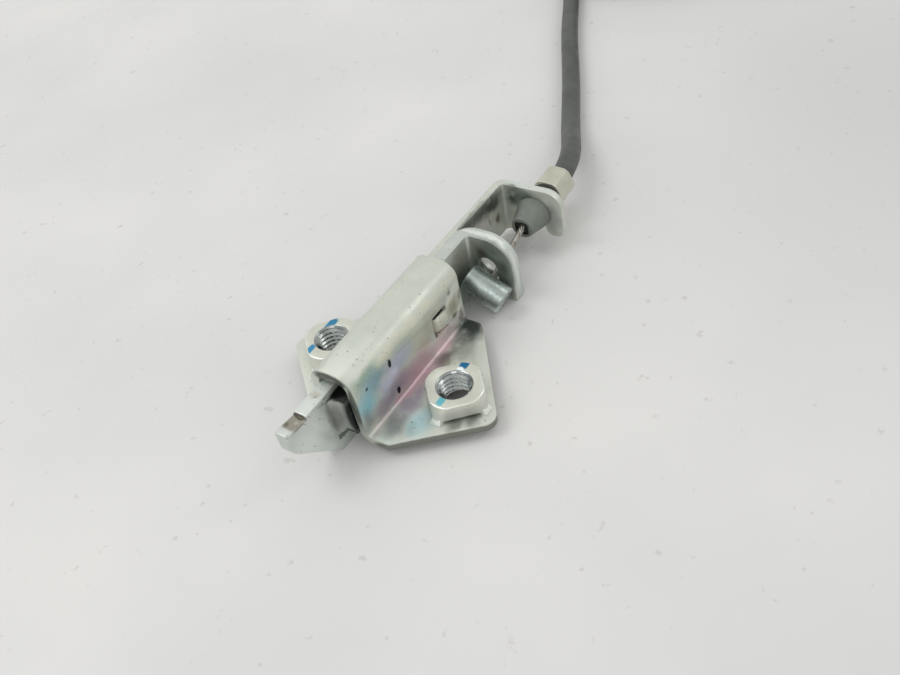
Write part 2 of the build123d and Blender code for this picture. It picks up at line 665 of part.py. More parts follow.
farNippleCentre = farWireEnd + farAlong * FAR_NIPPLE_R
farNippleCentre = Vector(farNippleCentre.X, farNippleCentre.Y, FLOOR_Z + FAR_NIPPLE_R)
with BuildPart() as farNipple:
    with BuildSketch(Plane(origin=farNippleCentre, z_dir=farOut).offset(-FAR_NIPPLE_LENGTH / 2)):
        Circle(FAR_NIPPLE_R)
    extrude(amount=FAR_NIPPLE_LENGTH)
    chamfer(farNipple.edges().filter_by(GeomType.CIRCLE), NIPPLE_CHAMFER)
farNipple.part.label = "far_nipple"
export_step(farNipple.part, "parts/far_nipple.step")
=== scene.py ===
import bpy
import bmesh
import math
from mathutils import Matrix, Vector


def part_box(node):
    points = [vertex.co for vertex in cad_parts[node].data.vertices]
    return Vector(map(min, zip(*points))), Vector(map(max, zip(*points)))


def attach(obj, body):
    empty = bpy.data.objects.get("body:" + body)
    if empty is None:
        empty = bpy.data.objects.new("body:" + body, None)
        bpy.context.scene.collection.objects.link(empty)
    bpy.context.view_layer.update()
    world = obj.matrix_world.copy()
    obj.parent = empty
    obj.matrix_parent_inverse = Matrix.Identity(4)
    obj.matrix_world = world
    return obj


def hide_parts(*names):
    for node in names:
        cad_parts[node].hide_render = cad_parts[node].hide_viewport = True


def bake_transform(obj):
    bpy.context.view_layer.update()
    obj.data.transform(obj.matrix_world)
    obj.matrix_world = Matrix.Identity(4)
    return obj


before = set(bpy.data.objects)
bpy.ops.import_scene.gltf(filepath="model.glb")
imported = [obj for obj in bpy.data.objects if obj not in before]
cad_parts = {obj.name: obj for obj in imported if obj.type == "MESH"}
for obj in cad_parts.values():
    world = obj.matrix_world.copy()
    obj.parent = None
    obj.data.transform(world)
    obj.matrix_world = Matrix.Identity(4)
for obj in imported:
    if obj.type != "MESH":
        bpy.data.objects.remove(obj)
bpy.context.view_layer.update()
print("frame loaded")

milli = 0.001  # sizes are written in millimetres, and the scene is in metres
floorZ = -1.8


def mm(*values):
    return Vector(values) * milli


def addObject(name, data):
    item = bpy.data.objects.new(name, data)
    bpy.context.scene.collection.objects.link(item)
    return item


# Camera, at the photograph's angle
photoCamera = {
    "width": 900,  # pixels
    "height": 675,
    "focal": 917.45,
    "centreY": 300.0,
    "sensor": 36.0,
    "place": (-77.91, -87.67, 122.07),
    "right": (0.540393, -0.824788, -0.166435),
    "up": (0.637365, 0.272121, 0.720913),
    "back": (-0.549310, -0.495656, 0.672743),
    "clip": (0.005, 10),  # metres
}


def makeCamera():
    data = bpy.data.cameras.new("camera")
    data.sensor_width = photoCamera["sensor"]
    data.lens = photoCamera["sensor"] * photoCamera["focal"] / photoCamera["width"]
    data.shift_y = (photoCamera["centreY"] - photoCamera["height"] / 2) / photoCamera["width"]
    data.clip_start, data.clip_end = photoCamera["clip"]
    camera = addObject("camera", data)
    turn = Matrix((photoCamera["right"], photoCamera["up"], photoCamera["back"])).transposed()
    camera.matrix_world = Matrix.Translation(mm(*photoCamera["place"])) @ turn.to_4x4()
    bpy.context.scene.camera = camera


makeCamera()
print("camera")


# Colours are written as screen values from 0 to 255
def screenColor(color):
    linear = []
    for value in color:
        share = value / 255
        linear.append(share / 12.92 if share <= 0.04045 else ((share + 0.055) / 1.055) ** 2.4)
    return (*linear, 1)


def newMaterial(name):
    material = bpy.data.materials.new(name)
    material.use_nodes = True
    tree = material.node_tree
    return material, tree, tree.nodes["Principled BSDF"]


def objectPlace(tree):
    return tree.nodes.new("ShaderNodeTexCoord").outputs["Object"]


def noiseNode(tree, scale, detail=3.0, place=None):
    noise = tree.nodes.new("ShaderNodeTexNoise")
    noise.inputs["Scale"].default_value = scale
    noise.inputs["Detail"].default_value = detail
    tree.links.new(place or objectPlace(tree), noise.inputs["Vector"])
    return noise


noiseSpan = (0.3, 0.7)  # the values that most of a noise lies between


# Two colours, from the low to the high values of a noise
def noiseColor(tree, noise, dark, light):
    ramp = tree.nodes.new("ShaderNodeValToRGB")
    for element, position, color in zip(ramp.color_ramp.elements, noiseSpan, (dark, light)):
        element.position = position
        element.color = screenColor(color)
    tree.links.new(noise.outputs["Fac"], ramp.inputs["Fac"])
    return ramp.outputs["Color"]


def rangeNode(tree, source, start, end, low=0.0, high=1.0):
    fit = tree.nodes.new("ShaderNodeMapRange")
    fit.interpolation_type = "SMOOTHSTEP"
    fit.inputs["From Min"].default_value = start
    fit.inputs["From Max"].default_value = end
    fit.inputs["To Min"].default_value = low
    fit.inputs["To Max"].default_value = high
    tree.links.new(source, fit.inputs["Value"])
    return fit.outputs["Result"]


def powerNode(tree, source, exponent):
    node = tree.nodes.new("ShaderNodeMath")
    node.operation = "POWER"
    tree.links.new(source, node.inputs[0])
    node.inputs[1].default_value = exponent
    return node.outputs["Value"]


def vectorNode(tree, operation, *values):
    node = tree.nodes.new("ShaderNodeVectorMath")
    node.operation = operation
    for socket, value in zip(node.inputs, values):
        if isinstance(value, tuple):
            socket.default_value = value
        else:
            tree.links.new(value, socket)
    return node.outputs


def mixColor(tree, share, under, over):
    mix = tree.nodes.new("ShaderNodeMix")
    mix.data_type = "RGBA"
    tree.links.new(share, mix.inputs["Factor"])
    tree.links.new(under, mix.inputs["A"])
    mix.inputs["B"].default_value = screenColor(over)
    return mix.outputs["Result"]


# A patch is a soft spot of colour: centre, half sizes along x, y and z, colour, share, softness.
# One with a softness below boxSoftness has the form of a rounded box, the others of an ellipsoid.
boxSoftness = 0.4


def addPatches(tree, color, place, patches):
    for centre, halfSizes, patchColor, strength, softness in patches:
        moved = tree.nodes.new("ShaderNodeMapping")
        moved.vector_type = "TEXTURE"
        moved.inputs["Location"].default_value = mm(*centre)
        moved.inputs["Scale"].default_value = mm(*halfSizes)
        tree.links.new(place, moved.inputs["Vector"])
        offset = moved.outputs["Vector"]
        squared = vectorNode(tree, "MULTIPLY", offset, offset)["Vector"]
        if softness < boxSoftness:
            fourths = vectorNode(tree, "DOT_PRODUCT", squared, squared)["Value"]
            distance = powerNode(tree, fourths, 0.25)
        else:
            squares = vectorNode(tree, "DOT_PRODUCT", squared, (1, 1, 1))["Value"]
            distance = powerNode(tree, squares, 0.5)
        share = rangeNode(tree, distance, 1 - softness, 1, strength, 0.0)
        color = mixColor(tree, share, color, patchColor)
    return color


# The object's place, pushed about by noise so that the rims of patches are uneven
def wavyPlace(tree, scale, reach):
    place = objectPlace(tree)
    noise = noiseNode(tree, scale, place=place)
    centred = vectorNode(tree, "SUBTRACT", noise.outputs["Color"], (0.5, 0.5, 0.5))["Vector"]
    return vectorNode(tree, "MULTIPLY_ADD", centred, tuple(mm(reach, reach, reach)), place)["Vector"]


surface = {
    "patchScale": 260,
    "plainScale": 900,  # for patches with a cleaner rim
    "plainReach": 0.25,
    "speckScale": 1500,
    "speckDetail": 2.0,
    "speckEdge": 0.05,
    "roughTimes": 2.5,  # times the scale of the colour's noise
    "grainTimes": 6,
    "grainDepth": 0.1,
}


# Specks are given as the noise value they start at, their colour and their share
def metalMaterial(name, dark, light, roughness, scale=300.0, bump=0.05, metallic=0.9,
                  patches=(), wave=3.0, spread=0.1, specks=None, plainPatches=()):
    material, tree, shader = newMaterial(name)
    color = noiseColor(tree, noiseNode(tree, scale), dark, light)
    if patches:
        color = addPatches(tree, color, wavyPlace(tree, surface["patchScale"], wave), patches)
    if plainPatches:
        place = wavyPlace(tree, surface["plainScale"], surface["plainReach"])
        color = addPatches(tree, color, place, plainPatches)
    if specks:
        start, speckColor, speckShare = specks
        spots = noiseNode(tree, surface["speckScale"], surface["speckDetail"])
        end = start + surface["speckEdge"]
        share = rangeNode(tree, spots.outputs["Fac"], start, end, 0.0, speckShare)
        color = mixColor(tree, share, color, speckColor)
    tree.links.new(color, shader.inputs["Base Color"])
    shader.inputs["Metallic"].default_value = metallic
    rough = noiseNode(tree, scale * surface["roughTimes"])
    low, high = roughness - spread, roughness + spread
    level = rangeNode(tree, rough.outputs["Fac"], *noiseSpan, low, high)
    tree.links.new(level, shader.inputs["Roughness"])
    grain = noiseNode(tree, scale * surface["grainTimes"])
    raised = tree.nodes.new("ShaderNodeBump")
    raised.inputs["Strength"].default_value = bump
    raised.inputs["Distance"].default_value = surface["grainDepth"] * milli
    tree.links.new(grain.outputs["Fac"], raised.inputs["Height"])
    tree.links.new(raised.outputs["Normal"], shader.inputs["Normal"])
    return material


# Rainbow passivate of the housing: film colours and dirt on the right wall, its flange, the arm and
# the conduit tab, with painted shade, a painted shadow and painted highlights among them, marked
# below
housingFilmDirtAndPaintedLightPatches = [
    ((2, -5.2, 13.6), (30, 1.6, 2.6), (218, 218, 200), 0.9, 0.7),
    ((6, -4.6, 9), (14, 1.5, 4), (196, 197, 184), 0.9, 0.8),
    ((-0.5, -4.6, 11.3), (5.5, 1.5, 3), (186, 196, 184), 0.9, 0.8),
    ((-2.2, -4.6, 9.3), (5.4, 1.5, 3.4), (184, 187, 206), 0.95, 0.8),
    ((-10.4, -4.4, 13.3), (5.4, 1.6, 2.2), (150, 172, 156), 0.95, 0.8),
    ((-9.2, -4.6, 10.8), (6, 1.5, 3.6), (150, 180, 190), 0.95, 0.8),
    ((-12.2, -4.6, 7.6), (3.8, 1.5, 3.8), (150, 196, 208), 0.95, 0.8),
    ((-5.6, -4.6, 7.2), (4.6, 1.5, 3.6), (216, 216, 238), 0.95, 0.8),
    ((-1.8, -4.6, 4.6), (6.5, 1.5, 3.8), (182, 164, 180), 0.9, 0.8),
    ((2.6, -4.6, 3.9), (7, 1.5, 4), (198, 170, 178), 0.9, 0.8),
    ((9.5, -4.6, 2.6), (7, 1.5, 3.4), (222, 200, 204), 0.9, 0.8),
    ((5, -4.6, 6.4), (3, 1.5, 1.8), (192, 178, 164), 0.6, 0.9),
    ((-7.8, -4.6, 3.8), (6, 1.5, 3.6), (166, 154, 166), 0.9, 0.8),
    ((-13.2, -4.6, 4.6), (2.2, 1.5, 4), (146, 152, 156), 0.85, 0.8),
    ((0, -4.9, 1.2), (16, 1.2, 1.6), (208, 178, 186), 0.85, 0.6),
    ((15, -4.6, 7.4), (2.6, 1.5, 2.4), (140, 134, 112), 0.8, 0.8),
    ((14.6, -4.6, 5.4), (1.5, 1.0, 1.0), (92, 84, 64), 0.8, 0.7),
    ((16.6, -4.6, 3.8), (1.4, 1.5, 2.4), (112, 98, 92), 0.8, 0.8),
    ((16.9, -4.6, 8.2), (0.8, 1.2, 1.6), (96, 90, 70), 0.8, 0.8),
    ((4, -6.3, 1.6), (10, 1.8, 1.2), (190, 168, 176), 0.9, 0.8),
    ((-4, -7.2, 1.6), (6, 2.6, 1.2), (172, 164, 176), 0.9, 0.8),
    ((-10, -7.4, 1.6), (4.6, 3, 1.2), (152, 157, 153), 0.9, 0.8),
    # Painted highlight: a cyan-white sheen on the flange beside the right nut
    ((-7.2, -11.2, 1.6), (5.0, 3.6, 1.2), (188, 216, 218), 1.0, 0.8),
    ((-9.4, -10.6, 1.6), (2.4, 2.0, 1.2), (160, 186, 186), 0.8, 0.9),
    # Painted shade: the flange darker towards its far end
    ((7.6, -6.9, 1.6), (4, 2.2, 1.2), (112, 108, 100), 0.85, 0.8),
    ((12.8, -7.2, 1.6), (5.0, 3.4, 1.2), (104, 108, 104), 0.9, 0.8),
    ((16.2, -6.6, 1.6), (4.6, 5.4, 1.2), (66, 72, 70), 1.0, 0.8),
    ((10.2, -8.8, 1.6), (3.4, 3.2, 1.2), (156, 160, 150), 0.8, 0.8),
    # Painted shadow of the right nut on the flange
    ((-5.4, -16.4, 1.6), (2.4, 2.2, 1.2), (124, 127, 120), 0.8, 0.8),
    ((-3.0, -19.0, 1.6), (2.6, 2.2, 1.2), (120, 123, 116), 0.8, 0.8),
    # Painted reflection of darker surroundings on the arm's inner face: dark along its top, lighter
    # lower down
    ((32, 3, 9.6), (16, 1.2, 3.6), (104, 108, 100), 0.95, 0.7),
    ((41.5, 3, 9.4), (5, 1.2, 3), (84, 88, 82), 0.9, 0.8),
    ((36, 3, 6.4), (8, 1.2, 3.4), (204, 204, 194), 0.85, 0.8),
    # Brown dirt spots on the arm
    ((42.8, 3, 4.4), (1.4, 1, 1.8), (112, 96, 78), 0.9, 0.8),
    ((39.8, 3, 6.2), (0.6, 1, 1.8), (128, 114, 96), 0.7, 0.8),
    # Painted highlight along the bend from the arm into the conduit tab
    ((45.5, 2.5, 5), (1.0, 1.0, 7.5), (196, 202, 198), 0.9, 0.8),
    # Painted shade on the conduit tab's face, darkest beside the arm, and a painted highlight along
    # its top rim
    ((46, 0.6, 9.4), (1.2, 3, 4.2), (44, 64, 60), 0.95, 0.8),
    ((46, -3, 8.8), (1.2, 4.4, 3.6), (106, 120, 116), 0.9, 0.8),
    ((46, -8.4, 5), (1.2, 2.6, 6), (170, 174, 168), 0.9, 0.8),
    ((47, -3, 11.6), (1.4, 9, 0.8), (214, 220, 214), 0.8, 0.5),
]
# Clean-rimmed patches on the housing: scratches and a dark spot, with painted shade and painted
# light, marked below
housingMarksAndPaintedLightPatches = [
    # Scratches and a dark spot on the right wall
    ((-4.5, -4.6, 10.8), (0.5, 0.9, 1.1), (26, 34, 40), 1.0, 0.4),
    ((-4.2, -4.6, 3.6), (0.55, 0.9, 1.0), (24, 16, 36), 1.0, 0.4),
    ((-11, -4.6, 10.9), (0.45, 0.9, 0.45), (60, 84, 92), 0.9, 0.4),
    # Painted shade in the window beside the lanced tab's near edge
    ((8.4, -3.2, 7.4), (0.8, 1.32, 3.0), (62, 60, 50), 0.95, 0.35),
    # Painted light on the window's bottom face, lightening its shade
    ((10.4, -4.2, 4.72), (2.6, 0.9, 0.24), (190, 172, 170), 0.9, 0.3),
    # Painted shade at the web's far end, beside the latch
    ((17.4, 3.8, 13.4), (0.7, 1.2, 2.3), (58, 60, 54), 0.9, 0.5),
    # Painted shade on the flange's outer rim
    ((-5, -16, 0), (24, 11.2, 1.5), (124, 127, 119), 0.95, 0.15),
    # Painted shade on the web's near end face and the right wall's near edge
    ((-14, 0, 14.2), (0.5, 4.2, 1.7), (62, 64, 60), 0.9, 0.4),
    ((-14, -3.8, 9), (0.45, 0.9, 5.8), (92, 94, 88), 0.85, 0.4),
    # Painted light on the lanced tab's outer face, and painted shade in the gaps along its near and
    # top edges
    ((10.7, -4.0, 6.7), (1.9, 1.3, 1.9), (232, 232, 218), 0.85, 0.3),
    ((8.8, -4.0, 6.6), (0.42, 0.62, 2.4), (40, 38, 30), 0.95, 0.3),
    ((10.4, -3.6, 8.45), (2.4, 0.62, 0.3), (26, 26, 20), 0.95, 0.3),
]
latchWearAndPaintedLightPatches = [
    # Painted light on the nose's right face
    ((-20.5, 0.2, 4), (9, 1, 9), (230, 237, 231), 0.85, 0.7),
    # Painted shade on the flap's bend, in the relief slot below it and over its top
    ((-15.4, -0.2, 6.4), (2.6, 2.0, 6.4), (134, 136, 132), 0.95, 0.8),
    ((-14.2, -1.6, 2.2), (2.4, 1.8, 0.75), (60, 62, 54), 0.9, 0.5),
    ((-13.2, -0.2, 10.6), (2.6, 2.2, 1.0), (34, 36, 34), 0.95, 0.5),
    # Painted highlight along the nose's top edge
    ((-20, 1.6, 12.3), (9, 3, 0.6), (224, 230, 224), 0.7, 0.6),
    # The striker's worn notch in the nose's top edge, mottled brown-grey
    ((-22.75, 1.5, 12.0), (1.9, 2.0, 0.8), (152, 147, 136), 0.95, 0.35),
    ((-23.6, 2.2, 12.0), (0.8, 0.7, 0.8), (104, 94, 80), 0.8, 0.8),
    ((-22.4, 1.0, 12.0), (0.7, 0.6, 0.8), (184, 180, 170), 0.8, 0.8),
    # Painted shadow of the notch's far end step
    ((-21.1, 1.5, 11.9), (0.5, 2.0, 0.7), (78, 72, 62), 0.95, 0.4),
    # A lighter mark further back on the top edge
    ((-16.6, 1.6, 12.3), (1.4, 1.6, 0.5), (188, 184, 170), 0.8, 0.8),
    # Painted shade on the plate behind the housing's window, and a painted contact shadow where the
    # web ends
    ((8.6, 0.4, 7), (2.6, 1.0, 3.6), (40, 40, 34), 0.95, 0.5),
    ((18.4, 1.6, 12.4), (0.8, 2.0, 0.8), (112, 112, 102), 0.8, 0.8),
    # Tones on the ear's near face, with brownish spots
    ((28.2, -5, 7), (0.9, 7, 9), (128, 136, 128), 0.9, 0.6),
    ((28.2, -1, 9.6), (0.8, 2.4, 3), (164, 166, 152), 0.7, 0.8),
    ((28.2, -2.6, 8.4), (0.8, 1.8, 2), (104, 100, 86), 0.8, 0.9),
    ((28.2, -7.2, 6.4), (0.8, 1.6, 2.6), (104, 110, 104), 0.85, 0.9),
    ((28.2, -5.2, 9.6), (0.8, 1.4, 1.0), (110, 124, 120), 0.7, 0.9),
    ((28.2, -8.4, 0), (0.8, 1.4, 2.6), (118, 114, 98), 0.7, 0.9),
    # Painted highlights along the ear's rims
    ((29.6, -4, 12.2), (0.8, 9, 1.2), (232, 236, 228), 0.9, 0.6),
    ((29.6, -9, 5), (0.9, 1.4, 8), (222, 228, 222), 0.8, 0.6),
    # The plate darker and yellower short of the ear
    ((24, 0.2, 8), (5, 0.9, 6), (158, 158, 140), 0.8, 0.8),
]
# Painted shade: the gap between the flap and the housing's wall, over the flap's top, and inside the
# ear's keyhole
latchPaintedShadePatches = [
    ((-14.4, -2.9, 6.4), (1.9, 2.1, 7.2), (18, 20, 20), 1.0, 0.6),
    ((-14.2, -1.4, 10.4), (2.8, 2.0, 1.3), (34, 36, 35), 0.95, 0.6),
    ((29.1, -3.7, 5.2), (0.72, 2.8, 3.0), (84, 86, 78), 0.95, 0.2),
]
nutPaintMarksAndPaintedLightPatches = [
    # Blue inspection paint marks on the nut tops, each with a white spot
    ((5.0, -13.0, 5.1), (1.5, 0.95, 0.7), (34, 112, 156), 1.0, 0.3),
    ((-3.9, -13.8, 5.1), (1.4, 0.75, 0.7), (112, 192, 206), 1.0, 0.3),
    ((3.5, -12.95, 5.0), (0.7, 0.9, 0.7), (246, 255, 255), 1.0, 0.5),
    ((2.6, 16.3, 5.1), (2.2, 0.9, 0.7), (54, 132, 172), 1.0, 0.3),
    ((-4.3, 15.8, 5.1), (1.7, 0.7, 0.7), (64, 146, 186), 1.0, 0.3),
    ((1.5, 15.2, 5.0), (0.9, 0.7, 0.7), (240, 250, 248), 0.9, 0.5),
    # Painted light on the right nut's sides
    ((0, -13.9, 3.0), (12, 12, 1.5), (200, 202, 196), 0.8, 0.4),
    # The right nut's top lighter on one side and darker on the other
    ((0.6, -9.2, 5.1), (3.4, 2.4, 0.6), (236, 238, 226), 0.9, 0.8),
    ((-2.6, -18.0, 5.1), (3.4, 2.4, 0.6), (202, 204, 192), 0.8, 0.8),
]
# Painted light on the nipple: light and dark streaks along its axis, and its lower side lightened
# against the floor's shade
nipplePaintedLightPatches = [
    ((23.2, -5.0, 5.4), (0.7, 9, 5.2), (190, 202, 198), 0.7, 0.8),
    ((22.1, -5.0, 3.4), (0.5, 9, 5.2), (140, 150, 146), 0.7, 0.8),
    ((22.6, -6.2, 0.4), (3.0, 9, 2.6), (236, 246, 242), 0.9, 0.8),
]
conePatches = [
    # Painted shade inside the cone's mouth
    ((40.4, -4.23, 5.96), (0.6, 1.75, 1.75), (20, 20, 18), 1.0, 0.25),
    # The cone darker on its upper far side
    ((43.2, -2.4, 7.4), (3.2, 1.4, 2), (92, 98, 92), 0.7, 0.8),
]

finishes = {
    "zinc": {
        "dark": (200, 205, 195), "light": (214, 217, 206), "roughness": 0.44, "scale": 180,
        "metallic": 0.7, "spread": 0.08, "specks": (0.68, (120, 124, 112), 0.6),
        "patches": housingFilmDirtAndPaintedLightPatches, "plainPatches": housingMarksAndPaintedLightPatches,
    },
    # Rounded edges: a brighter, glossier copy of the metal as painted highlights, with the latch's
    # painted shade over it
    "edge": {
        "dark": (222, 226, 218), "light": (238, 242, 236), "roughness": 0.28, "bump": 0.03,
        "metallic": 0.7, "spread": 0.08, "plainPatches": latchPaintedShadePatches,
    },
    "latch": {
        "dark": (190, 197, 191), "light": (204, 210, 204), "roughness": 0.40, "scale": 200,
        "metallic": 0.7, "spread": 0.08, "specks": (0.66, (118, 122, 114), 0.6),
        "patches": latchWearAndPaintedLightPatches, "wave": 1.2, "plainPatches": latchPaintedShadePatches,
    },
    "nut": {
        "dark": (206, 208, 195), "light": (218, 220, 208), "roughness": 0.42, "metallic": 0.65,
        "spread": 0.08, "specks": (0.70, (150, 150, 138), 0.5), "patches": nutPaintMarksAndPaintedLightPatches, "wave": 0.5,
    },
    # The bore's thread: the nut's metal painted darker, as painted shade inside the bore
    "thread": {
        "dark": (136, 142, 140), "light": (184, 188, 186), "roughness": 0.18, "scale": 400,
        "bump": 0.02, "metallic": 1.0,
    },
    "nipple": {
        "dark": (150, 160, 156), "light": (172, 182, 178), "roughness": 0.30, "scale": 500,
        "bump": 0.08, "metallic": 0.8, "spread": 0.08, "specks": (0.66, (112, 122, 118), 0.5),
        "patches": nipplePaintedLightPatches, "wave": 0.6,
    },
    "wire": {"dark": (138, 134, 126), "light": (186, 184, 176), "roughness": 0.35, "scale": 900},
    "cone": {
        "dark": (112, 118, 111), "light": (126, 132, 124), "roughness": 0.55, "metallic": 0.3,
        "patches": conePatches, "wave": 0.4,
    },
    "ferrule": {
        "dark": (192, 192, 176), "light": (206, 206, 192), "roughness": 0.38, "metallic": 0.8,
        "spread": 0.08, "specks": (0.68, (140, 138, 120), 0.5),
    },
    "spring": {"dark": (120, 122, 120), "light": (170, 172, 170), "roughness": 0.3},
    "rubber": {
        "dark": (22, 22, 22), "light": (34, 34, 34), "roughness": 0.6, "bump": 0.1, "metallic": 0.0,
    },
    "conduit": {
        "dark": (66, 69, 66), "light": (78, 81, 78), "roughness": 0.5, "scale": 150, "bump": 0.08,
        "metallic": 0.0, "spread": 0.06, "specks": (0.66, (100, 100, 96), 0.5),
    },
}
materials = {name: metalMaterial(name, **finish) for name, finish in finishes.items()}
nodeMaterials = {
    "housing": "zinc",
    "latch": "latch",
    "latch_spring": "spring",
    "left_weld_nut": "nut",
    "right_weld_nut": "nut",
    "barrel_nipple": "nipple",
    "inner_wire": "wire",
    "conduit_nose_cone": "cone",
    "sealing_ring": "rubber",
    "hex_ferrule": "ferrule",
    "coil_tie": "rubber",
    "far_ferrule": "ferrule",
    "far_wire": "wire",
    "far_nipple": "nipple",
}
for nodeName, materialName in nodeMaterials.items():
    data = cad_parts[nodeName].data
    data.materials.clear()
    data.materials.append(materials[materialName])
print("materials")


# Rounds edges by width, in millimetres
def roundEdges(mesh, edges, width, segments=2):
    return bmesh.ops.bevel(
        mesh, geom=edges, offset=width * milli, offset_type="OFFSET", affect="EDGES",
        segments=segments, profile=0.5, clamp_overlap=True, material=-1,
    )["faces"]


def finishMesh(mesh, name, material, smoothAngle=35.0):
    data = bpy.data.meshes.new(name)
    for face in mesh.faces:
        face.smooth = True
    mesh.to_mesh(data)
    mesh.free()
    data.set_sharp_from_angle(angle=math.radians(smoothAngle))
    data.materials.append(material)
    data.materials.append(materials["edge"])
    return addObject(name, data)


# Pieces that are a node with rounded edges; a bright one has the edge material, a painted highlight,
# on its rounds
dressed = {
    "housing": {
        "node": "housing", "body": "lock_body", "width": 0.16, "bright": True,
        "slot": "zinc_sheet",
    },
    "latch": {
        "node": "latch", "body": "latch_body", "width": 0.22, "bright": True,
        "slot": "latch_steel",
    },
    "cone": {
        "node": "conduit_nose_cone", "body": "lock_body", "width": 0.2, "bright": False,
        "slot": "cone_steel",
    },
    "ring": {
        "node": "sealing_ring", "body": "lock_body", "width": 0.2, "bright": False,
        "slot": "ring_rubber",
    },
    "hex": {
        "node": "hex_ferrule", "body": "lock_body", "width": 0.3, "bright": False,
        "slot": "ferrule_steel",
    },
}
# How a node's loose triangles become one mesh: distances in millimetres, angles in degrees
merging = {"distance": 0.004, "flatAngle": 0.5, "sharpAngle": 25.0}
# The sealing ring is squeezed in, outside fromR, about the conduit's axis
ringSqueeze = {"centre": (45.953, -4.0, 5.96), "yaw": 2.4, "fromR": 2.5, "depth": 0.6}


def dressedMesh(choice):
    mesh = bmesh.new()
    mesh.from_mesh(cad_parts[choice["node"]].data)
    bmesh.ops.remove_doubles(mesh, verts=mesh.verts, dist=merging["distance"] * milli)
    bmesh.ops.dissolve_limit(
        mesh, angle_limit=math.radians(merging["flatAngle"]), verts=mesh.verts, edges=mesh.edges,
    )
    sharp = math.radians(merging["sharpAngle"])
    edges = [edge for edge in mesh.edges if edge.is_manifold and edge.calc_face_angle() > sharp]
    # Rounds of a bright piece take the edge material: a painted highlight
    for face in roundEdges(mesh, edges, choice["width"]):
        face.material_index = int(choice["bright"])
    return mesh


def squeezeRing(mesh):
    yaw = math.radians(ringSqueeze["yaw"])
    along = Vector((math.cos(yaw), math.sin(yaw), 0))
    for vertex in mesh.verts:
        away = vertex.co - mm(*ringSqueeze["centre"])
        away -= away.dot(along) * along
        if away.length > ringSqueeze["fromR"] * milli:
            vertex.co -= away.normalized() * ringSqueeze["depth"] * milli


for name, choice in dressed.items():
    mesh = dressedMesh(choice)
    if name == "ring":
        squeezeRing(mesh)
    piece = finishMesh(mesh, name + "_piece", materials[nodeMaterials[choice["node"]]])
    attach(piece, choice["body"])
    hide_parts(choice["node"])
print("dressed pieces")


# Barrel nipple, a turned pin with rounded rims
nipple = {
    "place": (24.7, -4.95, 3.2),
    "radius": 2.85,
    "length": 8.6,
    "tilt": 26.0,
    "rim": 0.45,
    "rimSegments": 4,
    "rimAngle": 60,  # degrees, above which an edge is a rim
    "sides": 72,
}


def makeNipple():
    mesh = bmesh.new()
    turn = Matrix.Rotation(math.radians(nipple["tilt"] - 90), 4, "X")
    radius = nipple["radius"] * milli
    bmesh.ops.create_cone(
        mesh, cap_ends=True, segments=nipple["sides"], radius1=radius, radius2=radius,
        depth=nipple["length"] * milli, matrix=Matrix.Translation(mm(*nipple["place"])) @ turn,
    )
    sharp = math.radians(nipple["rimAngle"])
    rims = [edge for edge in mesh.edges if edge.calc_face_angle() > sharp]
    roundEdges(mesh, rims, nipple["rim"], nipple["rimSegments"])
    piece = finishMesh(mesh, "nipple_piece", materials["nipple"])
    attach(piece, "latch_body")
    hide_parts("barrel_nipple")


makeNipple()


def nurbsCurve(name, points, resolution):
    data = bpy.data.curves.new(name, "CURVE")
    data.dimensions = "3D"
    spline = data.splines.new("NURBS")
    spline.points.add(len(points) - 1)
    for point, place in zip(spline.points, points):
        point.co = (*mm(*place), 1.0)
    spline.order_u = 3
    spline.use_endpoint_u = True
    spline.resolution_u = resolution
    return addObject(name, data)


# The line's direction at one of its points, and two directions square to it
def crossAxes(points, index, reference):
    along = points[min(index + 1, len(points) - 1)] - points[max(index - 1, 0)]
    side = along.cross(reference).normalized()
    return side, side.cross(along).normalized()


# A round bar along points, square to its own line
def sweepBar(mesh, points, radius, sides, reference):
    rings = []
    for index, point in enumerate(points):
        side, up = crossAxes(points, index, reference)
        ring = []
        for step in range(sides):
            angle = 2 * math.pi * step / sides
            away = side * math.cos(angle) + up * math.sin(angle)
            ring.append(mesh.verts.new(point + away * radius * milli))
        rings.append(ring)
    for first, second in zip(rings, rings[1:]):
        for step in range(sides):
            after = (step + 1) % sides
            mesh.faces.new((first[step], first[after], second[after], second[step]))
    mesh.faces.new(rings[0])
    mesh.faces.new(rings[-1])


# Inner wire: twisted strands along a route from the nipple to the nose cone
wire = {
    "route": [(24.7, -4.75, 3.2), (29.5, -4.75, 3.2), (41.357, -4.193, 6.2)],
    "resolution": 120,
    "strands": 6,
    "strandR": 0.25,
    "circleR": 0.36,
    "pitch": 5.0,
    "sides": 8,
}


def makeWire():
    route = nurbsCurve("wire_route", wire["route"], wire["resolution"])
    line = bpy.data.meshes.new_from_object(route)
    points = [vertex.co.copy() for vertex in line.vertices]
    bpy.data.objects.remove(route)
    bpy.data.meshes.remove(line)
    upward = Vector((0, 0, 1))
    mesh = bmesh.new()
    for strand in range(wire["strands"]):
        travelled = 0.0
        twisted = []
        for index, point in enumerate(points):
            travelled += (point - points[max(index - 1, 0)]).length / milli
            side, up = crossAxes(points, index, upward)
            turn = 2 * math.pi * (strand / wire["strands"] + travelled / wire["pitch"])
            away = side * math.cos(turn) + up * math.sin(turn)
            twisted.append(point + away * wire["circleR"] * milli)
        sweepBar(mesh, twisted, wire["strandR"], wire["sides"], upward)
    bmesh.ops.recalc_face_normals(mesh, faces=mesh.faces)
    piece = finishMesh(mesh, "wire_piece", materials["wire"])
    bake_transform(piece)
    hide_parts("inner_wire")


makeWire()

# Latch spring, with its end turns closed
spring = {
    "axisZ": 6.5,
    "meanR": 2.25,
    "barR": 0.35,
    "turns": 10.5,
    "closedTurns": 1.0,
    "endGap": 0.05,
    "steps": 40,  # for each turn
    "sides": 12,
}


